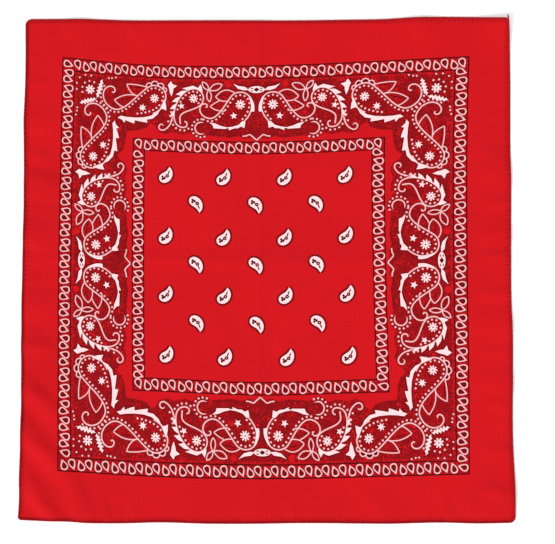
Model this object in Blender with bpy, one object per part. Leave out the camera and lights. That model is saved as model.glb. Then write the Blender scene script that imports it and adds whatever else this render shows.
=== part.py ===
"""A square cotton bandana laid flat on a table, at its real size.

Metres, +Z up. +X points to the right side and +Y to the top side of the cloth. The origin is on
the table, under the middle of the bandana's box.

The cloth is one cut square, the panel. Its raw edge is rolled and overlocked all round, in two
runs that meet at two opposite corners. One run goes up the left side, round the top left corner
and along the top. The other goes along the bottom, round the bottom right corner and up the right
side, and its thread chain runs on past the last corner as a short tail.
"""

import math
from collections import namedtuple

import bmesh
import bpy
import numpy as np

MM = 0.001

CLOTH_WALL = 1.0 * MM
ROLL_WIDTH = 2.0 * MM
ROLL_HEIGHT = 1.8 * MM
SEAM_GAP = 0.3 * MM
ROLL_SIDES = 6
PLAIN_STATIONS = 44

# The corners that the two sides would meet in, in mm, and how far back the rounding starts.
Corner = namedtuple("Corner", "x y rounding")
BOTTOM_LEFT = Corner(-273.0, -274.6, 0.0)
TOP_LEFT = Corner(-264.4, 274.2, 8.0)
TOP_RIGHT = Corner(264.8, 275.2, 0.0)
BOTTOM_RIGHT = Corner(273.2, -277.9, 8.0)

# How each side lies between its corners, in mm: the place along it, and how far out its edge is.
SideRow = namedtuple("SideRow", "along out")
LEFT_SIDE = [
    SideRow(-262, -272.0),
    SideRow(-246, -271.3),
    SideRow(-228, -271.3),
    SideRow(-190, -270.2),
    SideRow(-143, -269.1),
    SideRow(-75, -269.0),
    SideRow(-30, -268.4),
    SideRow(32, -267.2),
    SideRow(90, -266.0),
    SideRow(170, -266.0),
    SideRow(207, -264.6),
    SideRow(235, -264.2),
]
TOP_SIDE = [
    SideRow(-240, 274.3),
    SideRow(-205, 274.5),
    SideRow(-150, 272.9),
    SideRow(-95, 272.9),
    SideRow(-40, 273.0),
    SideRow(30, 272.8),
    SideRow(95, 273.7),
    SideRow(125, 274.2),
    SideRow(165, 276.4),
    SideRow(215, 276.6),
    SideRow(250, 275.8),
]
RIGHT_SIDE = [
    SideRow(-230, 272.2),
    SideRow(-190, 270.2),
    SideRow(-120, 269.9),
    SideRow(-78, 270.0),
    SideRow(-38, 268.5),
    SideRow(30, 267.9),
    SideRow(95, 268.0),
    SideRow(130, 267.2),
    SideRow(205, 267.0),
    SideRow(245, 266.4),
    SideRow(262, 265.8),
]
BOTTOM_SIDE = [
    SideRow(-245, -275.9),
    SideRow(-222, -276.3),
    SideRow(-200, -277.8),
    SideRow(-160, -278.4),
    SideRow(-117, -277.4),
    SideRow(-65, -278.8),
    SideRow(-20, -278.9),
    SideRow(35, -278.2),
    SideRow(145, -278.6),
    SideRow(188, -277.6),
    SideRow(235, -278.4),
]

# The soft ridges in which the cloth stands off the table, in mm. Each runs from its start to its
# end, rises to its height in the middle of its width, and runs out at both ends.
Ridge = namedtuple("Ridge", "x0 y0 x1 y1 height half_width")
PRESSED_RIDGES = [
    Ridge(-290, 14, 20, 8, 0.9, 14),
    Ridge(-20, 8, 290, 13, 0.7, 14),
    Ridge(-10, -300, -8, 300, 0.6, 14),
]
MARGIN_RIDGES = [
    Ridge(-292, 166, -212, 160, 1.7, 22),
    Ridge(-292, 92, -205, 88, 2.2, 20),
    Ridge(-292, 42, -214, 36, 1.4, 17),
    Ridge(-295, -36, -202, -42, 2.3, 24),
    Ridge(-292, -84, -218, -86, 1.5, 17),
    Ridge(-284, -108, -212, -178, 2.4, 17),
    Ridge(-292, -150, -206, -238, 2.8, 18),
    Ridge(-284, -212, -214, -292, 2.6, 16),
    Ridge(-226, -212, -182, -296, 2.0, 16),
    Ridge(292, 104, 216, 108, 1.9, 22),
    Ridge(294, 40, 214, 36, 1.5, 17),
    Ridge(292, -56, 208, -64, 2.2, 23),
    Ridge(296, -118, 222, -132, 1.8, 20),
    Ridge(298, -232, 196, -276, 2.3, 26),
    Ridge(150, -292, 96, -232, 1.1, 20),
    Ridge(150, 296, 192, 238, 1.4, 24),
    Ridge(-214, 298, -190, 236, 1.2, 20),
]
CORNER_CURL_HEIGHT = 6.5
CORNER_CURL_REACH = 46.0

# The tail of thread past the top right corner, in mm from the corner: up, to the left, thickness.
TailRow = namedtuple("TailRow", "up left thickness")
THREAD_TAIL = [
    TailRow(1.2, 0.1, 1.6),
    TailRow(2.6, 0.5, 1.3),
    TailRow(3.8, 0.9, 0.8),
]

# How far the first stations on each side are from a corner, in mm.
SHARP_STEPS = (0.0, 5.0, 9.0, 14.0)
ROUND_STEPS = (0.0, 2.2, 4.6, 7.6)

COTTON_RED = (0.63, 0.007, 0.012, 1.0)
THREAD_MAROON = (0.12, 0.008, 0.016, 1.0)


def clear_scene():
    for thing in list(bpy.data.objects):
        bpy.data.objects.remove(thing, do_unlink=True)


def smooth_through(rows, along):
    """The height at each place of a smooth curve through the rows, which are sorted by place."""
    knots = np.array([row[0] for row in rows], float)
    heights = np.array([row[1] for row in rows], float)
    slopes = np.gradient(heights, knots)
    cell = np.clip(np.searchsorted(knots, along) - 1, 0, len(knots) - 2)
    width = knots[cell + 1] - knots[cell]
    t = (along - knots[cell]) / width
    return (
        (2 * t**3 - 3 * t**2 + 1) * heights[cell]
        + (t**3 - 2 * t**2 + t) * width * slopes[cell]
        + (3 * t**2 - 2 * t**3) * heights[cell + 1]
        + (t**3 - t**2) * width * slopes[cell + 1]
    )


def side_curve(start, end, rows, upright):
    """Close points along one side, from one corner to the next, in mm."""
    ends = [(c.y, c.x) if upright else (c.x, c.y) for c in (start, end)]
    along = np.linspace(ends[0][0], ends[1][0], 1200)
    out = smooth_through(sorted(ends + [tuple(row) for row in rows]), along)
    return np.column_stack([out, along] if upright else [along, out])


def run_lengths(points):
    steps = np.linalg.norm(np.diff(points, axis=0), axis=1)
    return np.concatenate([[0.0], np.cumsum(steps)])


def cut_between(points, first, last):
    """The part of a curve between two lengths along it."""
    length = run_lengths(points)
    kept = points[(length > first + 1e-6) & (length < last - 1e-6)]
    return np.vstack([point_at(points, first), kept, point_at(points, last)])


def point_at(points, length):
    total = run_lengths(points)
    return np.array([np.interp(length, total, points[:, axis]) for axis in (0, 1)])


def half_rounding(corner, own, other):
    """From the middle of a corner's rounding out to this side's straight stretch."""
    middle = np.array([corner.x, corner.y])
    t = np.linspace(0.5, 1.0, 12)[:, None]
    return (1 - t) ** 2 * other + 2 * t * (1 - t) * middle + t**2 * own


def outline_sides():
    """The four sides, each from the middle of one corner to the middle of the next, anticlockwise.

    They go down the left, along the bottom, up the right and back along the top.
    """
    corners = [TOP_LEFT, BOTTOM_LEFT, BOTTOM_RIGHT, TOP_RIGHT]
    tables = [LEFT_SIDE, BOTTOM_SIDE, RIGHT_SIDE, TOP_SIDE]
    raw = []
    for i in range(4):
        raw.append(side_curve(corners[i], corners[(i + 1) % 4], tables[i], upright=i % 2 == 0))
    sides = []
    for i in range(4):
        start, end = corners[i], corners[(i + 1) % 4]
        total = run_lengths(raw[i])[-1]
        body = cut_between(raw[i], start.rounding, total - end.rounding)
        if start.rounding:
            before = raw[i - 1]
            other = point_at(before, run_lengths(before)[-1] - start.rounding)
            body = np.vstack([half_rounding(start, body[0], other)[:-1], body])
        if end.rounding:
            other = point_at(raw[(i + 1) % 4], end.rounding)
            body = np.vstack([body, half_rounding(end, body[-1], other)[::-1][1:]])
        sides.append(body)
    return sides, corners


def stations_on(side, start, end):
    """Points along one side, closer together beside its corners."""
    total = run_lengths(side)[-1]
    first = ROUND_STEPS if start.rounding else SHARP_STEPS
    last = ROUND_STEPS if end.rounding else SHARP_STEPS
    middle = np.linspace(first[-1], total - last[-1], PLAIN_STATIONS + 1)[1:-1]
    lengths = list(first) + list(middle) + [total - step for step in reversed(last)]
    return np.array([point_at(side, length) for length in lengths])


def inward_normals(ring):
    """At each point of an anticlockwise ring, the way in, long enough to keep mitred corners."""
    forward = np.roll(ring, -1, axis=0) - ring
    forward = forward / np.linalg.norm(forward, axis=1)[:, None]
    left = np.column_stack([-forward[:, 1], forward[:, 0]])
    mean = left + np.roll(left, 1, axis=0)
    mean = mean / np.linalg.norm(mean, axis=1)[:, None]
    return mean / np.sum(mean * left, axis=1)[:, None]


def ridge_rise(x, y, ridge):
    """The rise of one ridge over the table, in mm, at a place in mm."""
    run = np.array([ridge.x1 - ridge.x0, ridge.y1 - ridge.y0])
    length = np.linalg.norm(run)
    run = run / length
    along = (x - ridge.x0) * run[0] + (y - ridge.y0) * run[1]
    across = (y - ridge.y0) * run[0] - (x - ridge.x0) * run[1]
    end_fade = min(0.45 * length, 40.0)
    from_end = np.clip(np.minimum(along, length - along) / end_fade, 0, 1)
    over_width = np.clip(1 - (across / ridge.half_width) ** 2, 0, 1)
    return ridge.height * over_width**2 * from_end**2 * (3 - 2 * from_end)


def corner_curl(x, y):
    """The top right corner curls up off the table."""
    reach = np.hypot(x - TOP_RIGHT.x, y - TOP_RIGHT.y) / CORNER_CURL_REACH
    return CORNER_CURL_HEIGHT * np.clip(1 - reach, 0, 1) ** 1.7


def lift(x, y):
    """How far the cloth's underside is off the table, in mm, and 0 where it rests."""
    rise = corner_curl(x, y)
    for ridge in PRESSED_RIDGES + MARGIN_RIDGES:
        rise = rise + ridge_rise(x, y, ridge)
    return rise


def coons_patch(top, left, bottom, right):
    """A grid of points between four rows of points. Rows run down, columns run to the right."""
    u = np.linspace(0, 1, len(top))
    v = np.linspace(0, 1, len(left))
    across = (top - top[0]) @ (top[-1] - top[0]) / np.sum((top[-1] - top[0]) ** 2)
    down = (left - left[0]) @ (left[-1] - left[0]) / np.sum((left[-1] - left[0]) ** 2)
    u, v = np.meshgrid(np.clip(across, 0, 1), np.clip(down, 0, 1))
    u, v = u[..., None], v[..., None]
    ruled_down = (1 - v) * top[None, :] + v * bottom[None, :]
    ruled_across = (1 - u) * left[:, None] + u * right[:, None]
    corners = (
        (1 - u) * (1 - v) * top[0]
        + u * (1 - v) * top[-1]
        + (1 - u) * v * bottom[0]
        + u * v * bottom[-1]
    )
    return ruled_down + ruled_across - corners


def new_object(name, mesh_tool, material):
    mesh = bpy.data.meshes.new(name)
    mesh_tool.to_mesh(mesh)
    mesh_tool.free()
    mesh.materials.append(material)
    mesh.shade_smooth()
    mesh.set_sharp_from_angle(angle=math.radians(50))
    thing = bpy.data.objects.new(name, mesh)
    bpy.context.scene.collection.objects.link(thing)
    return thing


def plain_material(name, colour, roughness):
    material = bpy.data.materials.new(name)
    material.use_nodes = True
    surface = material.node_tree.nodes["Principled BSDF"]
    surface.inputs["Base Color"].default_value = colour
    surface.inputs["Roughness"].default_value = roughness
    surface.inputs["Metallic"].default_value = 0.0
    return material


def build_panel(grid, shift, material):
    """The cloth: its underside as a grid, thickened upwards to the wall."""
    tool = bmesh.new()
    heights = lift(grid[..., 0], grid[..., 1])
    verts = []
    for row in range(grid.shape[0]):
        line = []
        for column in range(grid.shape[1]):
            x, y = grid[row, column] + shift
            line.append(tool.verts.new((x * MM, y * MM, heights[row, column] * MM)))
        verts.append(line)
    for row in range(grid.shape[0] - 1):
        for column in range(grid.shape[1] - 1):
            a, b = verts[row][column], verts[row][column + 1]
            c, d = verts[row + 1][column + 1], verts[row + 1][column]
            tool.faces.new((a, b, c, d))
    panel = new_object("panel", tool, material)
    wall = panel.modifiers.new("wall", "SOLIDIFY")
    wall.thickness = CLOTH_WALL
    wall.offset = -1.0
    return panel


def build_roll(name, centres, normals, widths, shift, material):
    """A rolled, overlocked edge: a closed tube of oval rings along its run."""
    tool = bmesh.new()
    rings = []
    for centre, normal, width in zip(centres, normals, widths):
        base = float(lift(centre[0], centre[1]))
        tall = ROLL_HEIGHT / MM * width / (ROLL_WIDTH / MM)
        ring = []
        for side in range(ROLL_SIDES):
            turn = 2 * math.pi * (side + 0.5) / ROLL_SIDES
            flat = centre + shift + normal * width / 2 * math.cos(turn) / math.cos(math.pi / ROLL_SIDES)
            height = base + tall / 2 * (1 + math.sin(turn))
            ring.append(tool.verts.new((flat[0] * MM, flat[1] * MM, height * MM)))
        rings.append(ring)
    for near, far in zip(rings, rings[1:]):
        for side in range(ROLL_SIDES):
            after = (side + 1) % ROLL_SIDES
            tool.faces.new((near[side], far[side], far[after], near[after]))
    tool.faces.new(rings[0])
    tool.faces.new(rings[-1][::-1])
    bmesh.ops.recalc_face_normals(tool, faces=tool.faces)
    return new_object(name, tool, material)


def straight_normal(side, at_end):
    """The way in from one side at its sharp end, square to the side."""
    forward = side[-1] - side[-2] if at_end else side[1] - side[0]
    forward = forward / np.linalg.norm(forward)
    return np.array([-forward[1], forward[0]])


def main():
    clear_scene()
    cotton = plain_material("red cotton", COTTON_RED, 0.85)
    thread = plain_material("maroon overlock thread", THREAD_MAROON, 0.75)

    sides, corners = outline_sides()
    rows = [stations_on(sides[i], corners[i], corners[(i + 1) % 4]) for i in range(4)]
    left, bottom, right, top = rows
    count = len(left) - 1
    ring = np.vstack([row[:-1] for row in rows])
    way_in = inward_normals(ring)

    tail_tip = TOP_RIGHT.y + THREAD_TAIL[-1].up
    lowest = np.vstack(sides).min(axis=0)
    highest = np.vstack(sides).max(axis=0)
    highest[1] = max(highest[1], tail_tip)
    shift = -(lowest + highest) / 2

    edge = ring + way_in * (ROLL_WIDTH + SEAM_GAP) / MM
    edge_left, edge_bottom, edge_right = (edge[i * count : (i + 1) * count + 1] for i in range(3))
    edge_top = np.vstack([edge[3 * count :], edge[:1]])
    grid = coons_patch(edge_top[::-1], edge_left, edge_bottom, edge_right[::-1])
    build_panel(grid, shift, cotton)

    roll = ROLL_WIDTH / MM
    centre_in = roll / 2
    clear = roll + SEAM_GAP / MM

    # Up the left side from the bottom left corner and along the top, ending beside the right roll.
    start_in = straight_normal(left, at_end=True)
    top_start = top[0] + (top[1] - top[0]) * clear / np.linalg.norm(top[1] - top[0])
    top_in = straight_normal(top[:2], at_end=False)
    outer = np.vstack([top_start, top[1:-1], ring[: count], left[-1:]])
    normals = np.vstack([top_in, way_in[3 * count + 1 :], way_in[:count], start_in])
    centres = outer + normals * centre_in
    build_roll("edge_roll_left_top", centres, normals, [roll] * len(outer), shift, thread)

    # Along the bottom, round its right corner, up the right side and on as the tail of thread.
    bottom_in = straight_normal(bottom[:2], at_end=False)
    bottom_start = bottom[0] + (bottom[1] - bottom[0]) * clear / np.linalg.norm(bottom[1] - bottom[0])
    right_in = straight_normal(right, at_end=True)
    outer = np.vstack([bottom_start, ring[count + 1 : 3 * count], right[-1:]])
    normals = np.vstack([bottom_in, way_in[count + 1 : 3 * count], right_in])
    centres = outer + normals * centre_in
    widths = [roll] * len(outer)
    corner = centres[-1]
    for row in THREAD_TAIL:
        centres = np.vstack([centres, corner + np.array([-row.left, row.up])])
        normals = np.vstack([normals, right_in])
        widths.append(row.thickness)
    build_roll("edge_roll_bottom_right", centres, normals, widths, shift, thread)


main()
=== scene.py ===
"""The look of a square red cotton bandana, printed with a paisley border and laid flat on a table.

The part's model is the frame. The cloth stands for its panel, and two overlocked hems stand for
its rolled edges. Tables are in millimetres. The print is charted on the flat cloth, with u to the
right and v to the top, and then carried to where the cloth lies.
"""

import math
from collections import namedtuple

import bmesh
import bpy
import numpy as np
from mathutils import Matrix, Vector
from mathutils.geometry import delaunay_2d_cdt


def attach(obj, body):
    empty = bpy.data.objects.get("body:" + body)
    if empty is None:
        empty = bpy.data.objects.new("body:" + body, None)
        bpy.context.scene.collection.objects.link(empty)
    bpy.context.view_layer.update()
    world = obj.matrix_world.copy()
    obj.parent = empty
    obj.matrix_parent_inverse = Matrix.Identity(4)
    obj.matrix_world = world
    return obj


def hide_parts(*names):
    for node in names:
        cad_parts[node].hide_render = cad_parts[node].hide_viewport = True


MM = 0.001
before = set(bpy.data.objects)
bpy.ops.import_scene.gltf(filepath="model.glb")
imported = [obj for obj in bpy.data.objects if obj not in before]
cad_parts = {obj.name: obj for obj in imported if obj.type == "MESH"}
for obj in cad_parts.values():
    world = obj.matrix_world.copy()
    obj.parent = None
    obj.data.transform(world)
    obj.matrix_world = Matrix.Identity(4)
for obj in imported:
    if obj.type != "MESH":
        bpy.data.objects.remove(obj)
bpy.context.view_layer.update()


def table(kind, *rows):
    """Rows of numbers, with the names of their kind's columns."""
    return [kind(*row) for row in rows]


# ---------------------------------------------------------------- the cloth's own sizes

CLOTH_THICKNESS = 0.4
CLOTH_UNDERSIDE = 0.1
CLOTH_INSET = 1.2
GRID_STEP = 5.0
GRID_START = 2.0
GRID_CLEARANCE = 2.2
SIDE_POINTS = 1200
ROUNDING_POINTS = 12
RING_STEP = 2.0
NORMAL_STEP = 0.4
MERGE_DISTANCE = 0.02

# Painted shade: the cloth beside the rolled hem is darkened in its colour, standing in for the hem's
# shadow, by adding to its black ink. These set how strong it is and how far in it reaches.
PAINTED_HEM_SHADOW = 0.47
PAINTED_HEM_SHADOW_REACH = 4.6

ROLL_WIDTH = 2.0
ROLL_HEIGHT = 1.8
ROLL_STEP = 3.0
ROLL_UNDER_THREAD = 0.12
SEAM_GAP = 0.3
THREAD_WIDTH = 0.5
WRAP_PITCH = 1.1
WRAP_POINTS = 7
WRAP_DRIFT = 0.22
TAIL_START = 3.0

# The corners that the two sides would meet in, and how far back the rounding starts.
Corner = namedtuple("Corner", "x y rounding")
BOTTOM_LEFT = Corner(-273.0, -274.6, 0.0)
TOP_LEFT = Corner(-264.4, 274.2, 8.0)
TOP_RIGHT = Corner(264.8, 275.2, 0.0)
BOTTOM_RIGHT = Corner(273.2, -277.9, 8.0)

# How each side lies between its corners: the place along it, and how far out its edge is.
SideRow = namedtuple("SideRow", "along out")
LEFT_SIDE = table(
    SideRow,
    (-262, -272.0), (-246, -271.3), (-228, -271.3), (-190, -270.2), (-143, -269.1), (-75, -269.0),
    (-30, -268.4), (32, -267.2), (90, -266.0), (170, -266.0), (207, -264.6), (235, -264.2),
)
TOP_SIDE = table(
    SideRow,
    (-240, 274.3), (-205, 274.5), (-150, 272.9), (-95, 272.9), (-40, 273.0), (30, 272.8),
    (95, 273.7), (125, 274.2), (165, 276.4), (215, 276.6), (250, 275.8),
)
RIGHT_SIDE = table(
    SideRow,
    (-230, 272.2), (-190, 270.2), (-120, 269.9), (-78, 270.0), (-38, 268.5), (30, 267.9),
    (95, 268.0), (130, 267.2), (205, 267.0), (245, 266.4), (262, 265.8),
)
BOTTOM_SIDE = table(
    SideRow,
    (-245, -275.9), (-222, -276.3), (-200, -277.8), (-160, -278.4), (-117, -277.4), (-65, -278.8),
    (-20, -278.9), (35, -278.2), (145, -278.6), (188, -277.6), (235, -278.4),
)

# The soft ridges in which the cloth stands off the table. Each runs from its start to its end,
# rises to its height in the middle of its width, and runs out at both ends.
Ridge = namedtuple("Ridge", "x0 y0 x1 y1 height half_width")
PRESSED_RIDGES = table(
    Ridge,
    (-290, 14, 20, 8, 0.9, 14), (-20, 8, 290, 13, 0.7, 14), (-10, -300, -8, 300, 0.6, 14),
)
MARGIN_RIDGES = table(
    Ridge,
    (-292, 166, -212, 160, 1.7, 22), (-292, 92, -205, 88, 2.2, 20),
    (-292, 42, -214, 36, 1.4, 17), (-295, -36, -202, -42, 2.3, 24),
    (-292, -84, -218, -86, 1.5, 17), (-284, -108, -212, -178, 2.4, 17),
    (-292, -150, -206, -238, 2.8, 18), (-284, -212, -214, -292, 2.6, 16),
    (-226, -212, -182, -296, 2.0, 16), (292, 104, 216, 108, 1.9, 22),
    (294, 40, 214, 36, 1.5, 17), (292, -56, 208, -64, 2.2, 23),
    (296, -118, 222, -132, 1.8, 20), (298, -232, 196, -276, 2.3, 26),
    (150, -292, 96, -232, 1.1, 20), (150, 296, 192, 238, 1.4, 24),
    (-214, 298, -190, 236, 1.2, 20),
)
RIDGE_FADE_SHARE = 0.45
RIDGE_FADE_LIMIT = 40.0
CORNER_CURL_HEIGHT = 6.5
CORNER_CURL_REACH = 46.0
CORNER_CURL_POWER = 1.7

# The finer creases that only show close up: the pressed folds' own edges, and puckers by the hem.
FOLD_EDGES = table(
    Ridge,
    (-262, 13, 0, 8.5, 0.2, 4.5), (-4, 8.5, 262, 12.5, 0.18, 4.5), (-9.6, -270, -8.4, 268, 0.2, 4.5),
)
PUCKERS = table(
    Ridge,
    (-273, 204, -230, 206, 0.7, 9), (-273, 126, -228, 122, 0.9, 10),
    (-274, 103, -226, 99, 1.3, 12), (-275, 30, -224, 26, 1.2, 11),
    (-276, -14, -234, -12, 0.7, 9), (-277, -86, -226, -84, 1.2, 10),
    (-279, -128, -226, -150, 0.9, 12), (-279, -176, -222, -216, 0.8, 11),
    (-280, -206, -226, -258, 0.7, 9), (-262, -236, -226, -286, 0.8, 10),
    (-232, -240, -196, -288, 0.7, 10), (-190, -240, -168, -288, 0.9, 10),
    (-140, -284, -148, -244, 0.6, 10), (-84, -285, -78, -244, 0.5, 10),
    (34, -285, 24, -246, 0.6, 10), (206, -284, 190, -246, 0.8, 10),
    (276, -250, 222, -236, 1.2, 12), (276, -196, 232, -204, 1.4, 11),
    (276, -150, 230, -146, 1.2, 10), (275, -88, 232, -94, 1.1, 10),
    (274, -26, 228, -28, 1.3, 10), (274, 16, 228, 14, 1.2, 10),
    (274, 74, 230, 72, 1.3, 11), (272, 128, 228, 124, 1.0, 10),
    (272, 170, 228, 166, 0.8, 10), (60, 280, 66, 244, 0.5, 10),
    (-70, 279, -64, 246, 0.5, 10), (-150, 279, -140, 244, 0.6, 10),
    (-228, 280, -206, 244, 0.6, 10),
)

# The tail of thread past the top right corner: up and to the left of the corner, and its width.
TailRow = namedtuple("TailRow", "up left width")
THREAD_TAIL = [
    TailRow(1.2, 0.1, 1.9),
    TailRow(2.4, 0.45, 1.7),
    TailRow(3.3, 0.75, 1.3),
]

# Where the flat print's own places lie now: the rules of its two borders and its middle lines.
PRINT_PLACES = (-225.0, -139.5, 0.0, 139.5, 225.0)
LaidRow = namedtuple("LaidRow", "v far_left left middle right far_right")
LAID_ROWS = table(
    LaidRow,
    (-225.0, (-229.0, -220.7), (-143.3, -226.4), (-3.4, -229.9), (136.7, -227.1), (222.6, -224.7)),
    (-139.5, (-229.0, -132.2), (-146.7, -133.0), (-7.2, -138.3), (134.8, -134.9), (222.2, -135.3)),
    (0.0, (-228.2, 12.1), (-147.8, 6.4), (-10.5, 2.5), (130.9, 7.5), (220.2, 11.0)),
    (139.5, (-225.4, 148.8), (-146.5, 144.3), (-11.0, 139.9), (129.9, 145.1), (220.1, 149.0)),
    (225.0, (-223.6, 232.6), (-143.6, 225.0), (-11.1, 223.3), (133.4, 228.9), (222.1, 233.6)),
)

# ---------------------------------------------------------------- the print's own sizes

OUTER_RULE = 225.0
OUTER_CHAIN = 15.2
SCRIBBLE_FROM = 18.0
INNER_RULE = 139.5
INNER_CHAIN = 14.3
RULE_WIDTH = 1.5

# How far in the scribbled ground reaches on half a side, from the corner to the middle. It is
# drawn a little further in than these rows.
GROUND_EXTRA = 0.8
LimitRow = namedtuple("LimitRow", "x y")
GROUND_LIMIT = table(
    LimitRow,
    (-147.5, -77.5), (-141.0, -76.5), (-132.0, -75.5), (-124.0, -72.5), (-119.0, -67.0),
    (-114.0, -70.0), (-110.5, -76.0), (-103.0, -79.0), (-98.5, -77.5), (-94.0, -76.0),
    (-90.0, -77.5), (-82.0, -79.0), (-74.0, -76.5), (-69.0, -81.0), (-61.0, -83.0),
    (-57.0, -80.0), (-53.0, -78.5), (-48.0, -79.0), (-41.0, -79.5), (-30.0, -80.5),
    (-20.0, -78.5), (-13.0, -81.5), (-6.0, -80.5), (0.0, -84.5),
)

# Each kind of ink: white and black, and how densely the scribble or the hatching is drawn.
Ink = namedtuple("Ink", "white black scribble hatching")
CLOTH = Ink(0, 0, 0, 0)
WHITE = Ink(1, 0, 0, 0)
BLACK = Ink(0, 1, 0, 0)
SOFT_WHITE = Ink(0.74, 0, 0, 0)
LINE_WHITE = Ink(0.7, 0, 0, 0)
SOFT_BLACK = Ink(0, 0.74, 0, 0)
RIM_BLACK = Ink(0, 0.8, 0, 0)
BEAD_BLACK = Ink(0, 0.6, 0, 0)
SCRIBBLE = Ink(0, 0, 1, 0)
LIGHT_SCRIBBLE = Ink(0, 0.1, 0.5, 0)
HATCHED = Ink(0, 0, 0, 1)
LEAF_HATCHED = Ink(0, 0, 0, 0.9)
DROP_EYE = Ink(0, 0.8, 0, 0)
FRINGE = Ink(0, 0.8, 0, 0)

# The order in which the shapes are laid over each other.
GROUND, FILL, HALO, MARK, LINE, TOP_MARK, EYE = range(7)
Shape = namedtuple("Shape", "layer ink points faces")

# A chain of drops along one side of a border: how many there are, the places of the first and
# the last along the side, and where the first one's point turns. Each next one is turned round.
ChainRow = namedtuple("ChainRow", "side drops first last point")
OUTER_DROPS = [
    ChainRow("top", 47, -206.5, 218.0, -72),
    ChainRow("bottom", 47, -218.0, 207.5, 108),
    ChainRow("left", 50, -205.0, 217.5, 162),
    ChainRow("right", 50, -217.0, 208.0, 162),
]
INNER_DROPS = [
    ChainRow("top", 29, -132.4, 132.4, -72),
    ChainRow("bottom", 28, -132.6, 121.0, -72),
    ChainRow("left", 29, -123.0, 120.5, -18),
    ChainRow("right", 30, -132.4, 122.4, 162),
]
DROP_LENGTH = 12.0
DROP_WIDTH = 8.0
DROP_HOOK = 0.03
DROP_LINE = 1.3
DROP_SHIFT = 0.3
EYE_SHIFT = 0.6
EYE_LENGTH = DROP_LENGTH - 3.1 * DROP_LINE
EYE_WIDTH = DROP_WIDTH - 2 * DROP_LINE
HATCH_INSET = 2.0

# The small paisleys of the field: the row's height, its places along, and whether the tip is up.
FieldRow = namedtuple("FieldRow", "v places tip_up")
FIELD_FOUR = (-99.8, -35.6, 31.8, 98.2)
FIELD_THREE = (-66.9, -1.1, 65.3)
FIELD_ROWS = [
    FieldRow(101.0, FIELD_FOUR, True),
    FieldRow(69.0, FIELD_THREE, False),
    FieldRow(34.0, FIELD_FOUR, True),
    FieldRow(2.2, FIELD_THREE, False),
    FieldRow(-30.4, FIELD_FOUR, True),
    FieldRow(-62.9, FIELD_THREE, False),
    FieldRow(-97.7, FIELD_FOUR, True),
]

# One of them, with its tip up: its outline, how far one with its tip down is moved, the spots of
# its sprig with their radii, and the strokes between them.
FIELD_OUTLINE = [(2.8, 7.4), (4.3, 6.0), (5.7, 3.6), (6.4, 0.8), (6.1, -2.4), (4.8, -5.6)]
FIELD_OUTLINE += [(2.4, -8.4), (-0.6, -10.1), (-3.6, -10.6), (-6.4, -9.7), (-8.3, -7.6), (-8.8, -5.0)]
FIELD_OUTLINE += [(-8.0, -2.6), (-6.2, -0.7), (-3.8, 0.7), (-1.4, 2.1), (0.6, 4.0), (1.8, 6.0)]
FIELD_TIP_DOWN_SHIFT = (0.8, -2.4)
FIELD_SPRIG = [(-4.8, -6.4, 1.45), (-2.6, -5.3, 1.45), (-5.0, -3.8, 1.4), (0.5, -2.6, 2.2)]
FIELD_STEM = [(-4.0, -5.2), (0.5, -2.6)]
FIELD_TIP_LINE = [(1.2, -1.2), (2.9, 3.6)]

# The notched sprays: how wide they are in a notch, and how far their teeth lean, as shares.
NOTCH_DEPTH = 0.24
NOTCH_LEAN = 0.03

# A flame on a paisley's back: where it starts along the line, how long its foot is, how far it
# stands off the line, and how far its point leans back.
FlameRow = namedtuple("FlameRow", "at foot reach lean")


# ---------------------------------------------------------------- how the cloth lies


def sweep_shares(t):
    """What the ends of a smooth sweep, and the slopes there, add to it at t from 0 to 1."""
    start = 2 * t**3 - 3 * t**2 + 1
    start_slope = t**3 - 2 * t**2 + t
    end = 3 * t**2 - 2 * t**3
    end_slope = t**3 - t**2
    return start, start_slope, end, end_slope


def smooth_through(knots, values, along):
    """Values at each place of a smooth curve through the knots. A value may differ by place."""
    knots = np.asarray(knots, float)
    values = np.asarray(values, float)
    slopes = np.gradient(values, knots, axis=0)
    cell = np.clip(np.searchsorted(knots, along) - 1, 0, len(knots) - 2)
    here, beyond = cell, cell + 1
    if values.ndim == 2:
        column = np.arange(len(along))
        here, beyond = (cell, column), (cell + 1, column)
    width = knots[cell + 1] - knots[cell]
    start, start_slope, end, end_slope = sweep_shares((along - knots[cell]) / width)
    return (
        start * values[here]
        + start_slope * width * slopes[here]
        + end * values[beyond]
        + end_slope * width * slopes[beyond]
    )


def side_curve(start, end, rows, upright):
    """Close points along one side, from one corner to the next."""
    ends = [(c.y, c.x) if upright else (c.x, c.y) for c in (start, end)]
    knots = sorted(ends + [tuple(row) for row in rows])
    along = np.linspace(ends[0][0], ends[1][0], SIDE_POINTS)
    out = smooth_through([knot[0] for knot in knots], [knot[1] for knot in knots], along)
    return np.column_stack([out, along] if upright else [along, out])


def run_lengths(points):
    """How far along a line each of its points is."""
    steps = np.linalg.norm(np.diff(points, axis=0), axis=1)
    return np.concatenate([[0.0], np.cumsum(steps)])


def points_at(points, lengths):
    """The points at some lengths along a line."""
    total = run_lengths(points)
    return np.column_stack([np.interp(lengths, total, points[:, axis]) for axis in (0, 1)])


def even(points, step):
    """The same line with evenly spaced points."""
    total = run_lengths(points)[-1]
    count = max(2, int(round(total / step)) + 1)
    return points_at(points, np.linspace(0, total, count))


def cut_between(points, first, last):
    """The part of a line between two lengths along it."""
    length = run_lengths(points)
    kept = points[(length > first + 1e-6) & (length < last - 1e-6)]
    return np.vstack([points_at(points, [first]), kept, points_at(points, [last])])


def half_rounding(corner, own, other):
    """From the middle of a corner's rounding out to this side's straight stretch."""
    middle = np.array([corner.x, corner.y])
    t = np.linspace(0.5, 1.0, ROUNDING_POINTS)[:, None]
    return (1 - t) ** 2 * other + 2 * t * (1 - t) * middle + t**2 * own


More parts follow.
